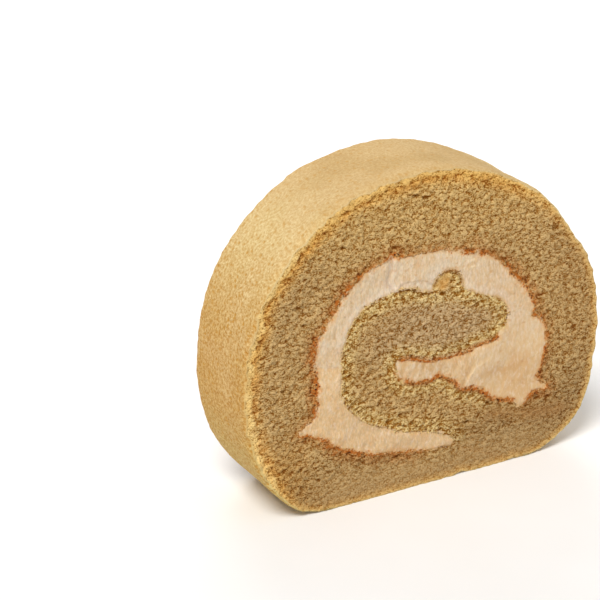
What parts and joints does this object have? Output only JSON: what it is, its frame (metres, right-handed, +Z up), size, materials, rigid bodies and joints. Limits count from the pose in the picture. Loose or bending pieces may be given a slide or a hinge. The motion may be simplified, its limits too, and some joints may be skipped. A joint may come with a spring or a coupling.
{
  "type": "swiss roll cake slice",
  "caption": "Thick upright slice of swiss roll cake: light baked skin, fine tan sponge crumb and a spiral of pale cream on both cut faces, resting on its flat underside.",
  "frame": {"origin": "on the flat underside of the slice, below the middle of its box", "axes": "+X across the roll to the cut's right, +Y along the roll's axis away from the front cut, +Z up"},
  "size_m": [0.09, 0.022, 0.0734],
  "materials": {
    "sponge": "baked sponge, dull, fine open crumb on the cuts and a smooth golden skin round the roll",
    "cream": "whipped cream, soft satin, knife-smeared on the cuts"
  },
  "bodies": {
    "root": {"sponge": "sponge", "cream": "cream"}
  },
  "joints": []
}
